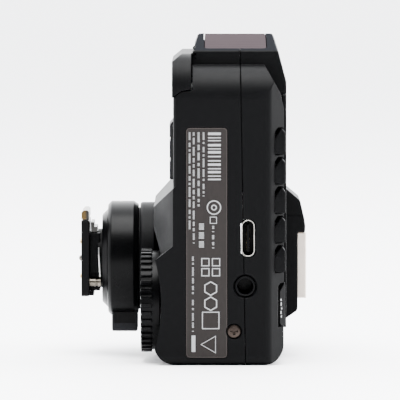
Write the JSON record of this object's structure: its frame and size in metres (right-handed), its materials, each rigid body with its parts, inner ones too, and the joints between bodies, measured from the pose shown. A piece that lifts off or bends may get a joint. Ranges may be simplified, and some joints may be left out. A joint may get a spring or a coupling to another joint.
{
  "type": "wireless flash trigger",
  "caption": "Battery-powered radio flash trigger with a locking accessory foot, pass-through shoe, display, edge keys, selector dial and lamp window.",
  "frame": {"origin": "middle of the unit's bounding box, on the surface that it stands on, under its rear end", "axes": "+Z from the rear end up to the lamp nose, +X from the locking foot to the top shoe, +Y from the port side to the switch side"},
  "size_m": [0.057, 0.072, 0.0805],
  "materials": {
    "casing": "satin black moulded plastic with a fine spark-eroded grain",
    "deck": "smooth black moulded plastic",
    "key": "matt dark grey moulded key",
    "lens": "gloss black display lens, display off",
    "lamp": "smoked red lamp window, semi-gloss",
    "black": "satin-gloss black moulded plastic",
    "steel": "bright plated steel with a fine grain",
    "brass": "plated brass, partly worn to grey",
    "gold": "gold-plated contact",
    "screw": "black-brown oxide finish",
    "label": "dark brown-grey film label with light grey print",
    "board": "green circuit board",
    "rubber": "grey silicone rubber",
    "cell": "printed metal jacket",
    "reflector": "bright metallised reflector"
  },
  "bodies": {
    "chassis": {"bottom_casing": "casing", "top_cover": "casing", "foot_neck": "casing", "shoe_base": "casing", "deck_panel": "deck", "display_lens": "lens", "lamp_window": "lamp", "battery_tray": "black", "usb_tongue": "black", "sync_jack": "black", "foot_plate": "black", "shoe_contact_block": "black", "battery_contact_near": "steel", "battery_contact_far": "steel", "radio_module": "steel", "usb_shell": "steel", "display_module": "steel", "dial_encoder": "steel", "foot_clip": "steel", "lock_spring": "steel", "shoe_rails": "steel", "foot_toe": "brass", "shoe_pad_1": "gold", "shoe_pad_2": "gold", "shoe_pad_3": "gold", "shoe_pad_4": "gold", "shoe_pad_5": "gold", "casing_screw_near": "screw", "casing_screw_far": "screw", "casing_screw_rear": "screw", "casing_screw_front": "screw", "rating_label": "label", "main_board": "board", "key_mat": "rubber", "battery_cell_rear": "cell", "battery_cell_front": "cell", "lamp_reflector": "reflector"},
    "battery_door_body": {"battery_door": "casing"},
    "lock_ring_body": {"lock_ring": "black"},
    "lock_pin_body": {"lock_pin": "steel"},
    "dial_body": {"dial_wheel": "black"},
    "test_key_body": {"test_key": "key"},
    "set_key_body": {"set_key": "key"},
    "power_switch_body": {"power_switch": "key"},
    "lamp_switch_body": {"lamp_switch": "key"},
    "centre_contact_body": {"centre_contact": "steel"},
    "group_key_1_body": {"group_key_1": "key"},
    "group_key_2_body": {"group_key_2": "key"},
    "group_key_3_body": {"group_key_3": "key"},
    "group_key_4_body": {"group_key_4": "key"},
    "group_key_5_body": {"group_key_5": "key"},
    "function_key_1_body": {"function_key_1": "key"},
    "function_key_2_body": {"function_key_2": "key"},
    "function_key_3_body": {"function_key_3": "key"},
    "function_key_4_body": {"function_key_4": "key"},
    "signal_contact_1_body": {"signal_contact_1": "gold"},
    "signal_contact_2_body": {"signal_contact_2": "gold"},
    "signal_contact_3_body": {"signal_contact_3": "gold"},
    "signal_contact_4_body": {"signal_contact_4": "gold"}
  },
  "joints": [
    {"name": "battery_door_slide", "type": "slide", "parent": "chassis", "child": "battery_door_body", "axis": [0, 0, 1], "range_m": [0, 0.034]},
    {"name": "lock_ring_turn", "type": "hinge", "parent": "chassis", "child": "lock_ring_body", "pos_m": [-0.018, 0, 0.0241], "axis": [1, 0, 0], "range_deg": [0, 60]},
    {"name": "lock_pin_slide", "type": "slide", "parent": "chassis", "child": "lock_pin_body", "axis": [-1, 0, 0], "range_m": [0, 0.0016]},
    {"name": "dial_turn", "type": "hinge", "parent": "chassis", "child": "dial_body", "pos_m": [-0.011, -0.022, 0.0151], "axis": [1, 0, 0], "continuous": true},
    {"name": "group_key_1_press", "type": "slide", "parent": "chassis", "child": "group_key_1_body", "axis": [-1, 0, 0], "range_m": [0, 0.0006], "stiffness_N_per_m": 1500, "springref_m": -0.0003},
    {"name": "group_key_2_press", "type": "slide", "parent": "chassis", "child": "group_key_2_body", "axis": [-1, 0, 0], "range_m": [0, 0.0006], "stiffness_N_per_m": 1500, "springref_m": -0.0003},
    {"name": "group_key_3_press", "type": "slide", "parent": "chassis", "child": "group_key_3_body", "axis": [-1, 0, 0], "range_m": [0, 0.0006], "stiffness_N_per_m": 1500, "springref_m": -0.0003},
    {"name": "group_key_4_press", "type": "slide", "parent": "chassis", "child": "group_key_4_body", "axis": [-1, 0, 0], "range_m": [0, 0.0006], "stiffness_N_per_m": 1500, "springref_m": -0.0003},
    {"name": "group_key_5_press", "type": "slide", "parent": "chassis", "child": "group_key_5_body", "axis": [-1, 0, 0], "range_m": [0, 0.0006], "stiffness_N_per_m": 1500, "springref_m": -0.0003},
    {"name": "test_key_press", "type": "slide", "parent": "chassis", "child": "test_key_body", "axis": [-1, 0, 0], "range_m": [0, 0.0006], "stiffness_N_per_m": 1500, "springref_m": -0.0003},
    {"name": "function_key_1_press", "type": "slide", "parent": "chassis", "child": "function_key_1_body", "axis": [-1, 0, 0], "range_m": [0, 0.0006], "stiffness_N_per_m": 1500, "springref_m": -0.0003},
    {"name": "function_key_2_press", "type": "slide", "parent": "chassis", "child": "function_key_2_body", "axis": [-1, 0, 0], "range_m": [0, 0.0006], "stiffness_N_per_m": 1500, "springref_m": -0.0003},
    {"name": "function_key_3_press", "type": "slide", "parent": "chassis", "child": "function_key_3_body", "axis": [-1, 0, 0], "range_m": [0, 0.0006], "stiffness_N_per_m": 1500, "springref_m": -0.0003},
    {"name": "function_key_4_press", "type": "slide", "parent": "chassis", "child": "function_key_4_body", "axis": [-1, 0, 0], "range_m": [0, 0.0006], "stiffness_N_per_m": 1500, "springref_m": -0.0003},
    {"name": "set_key_press", "type": "slide", "parent": "chassis", "child": "set_key_body", "axis": [-1, 0, 0], "range_m": [0, 0.0006], "stiffness_N_per_m": 1500, "springref_m": -0.0003},
    {"name": "power_switch_slide", "type": "slide", "parent": "chassis", "child": "power_switch_body", "axis": [0, 0, 1], "range_m": [0, 0.004]},
    {"name": "lamp_switch_slide", "type": "slide", "parent": "chassis", "child": "lamp_switch_body", "axis": [0, 0, 1], "range_m": [0, 0.004]},
    {"name": "centre_contact_slide", "type": "slide", "parent": "chassis", "child": "centre_contact_body", "axis": [1, 0, 0], "range_m": [0, 0.0007], "stiffness_N_per_m": 600, "springref_m": -0.0003},
    {"name": "signal_contact_1_slide", "type": "slide", "parent": "chassis", "child": "signal_contact_1_body", "axis": [1, 0, 0], "range_m": [0, 0.0005], "stiffness_N_per_m": 400, "springref_m": -0.0003},
    {"name": "signal_contact_2_slide", "type": "slide", "parent": "chassis", "child": "signal_contact_2_body", "axis": [1, 0, 0], "range_m": [0, 0.0005], "stiffness_N_per_m": 400, "springref_m": -0.0003},
    {"name": "signal_contact_3_slide", "type": "slide", "parent": "chassis", "child": "signal_contact_3_body", "axis": [1, 0, 0], "range_m": [0, 0.0005], "stiffness_N_per_m": 400, "springref_m": -0.0003},
    {"name": "signal_contact_4_slide", "type": "slide", "parent": "chassis", "child": "signal_contact_4_body", "axis": [1, 0, 0], "range_m": [0, 0.0005], "stiffness_N_per_m": 400, "springref_m": -0.0003}
  ],
  "couplings": [
    {"joint": "lock_pin_slide", "follows": "lock_ring_turn", "m_per_rad": 0.0015}
  ]
}
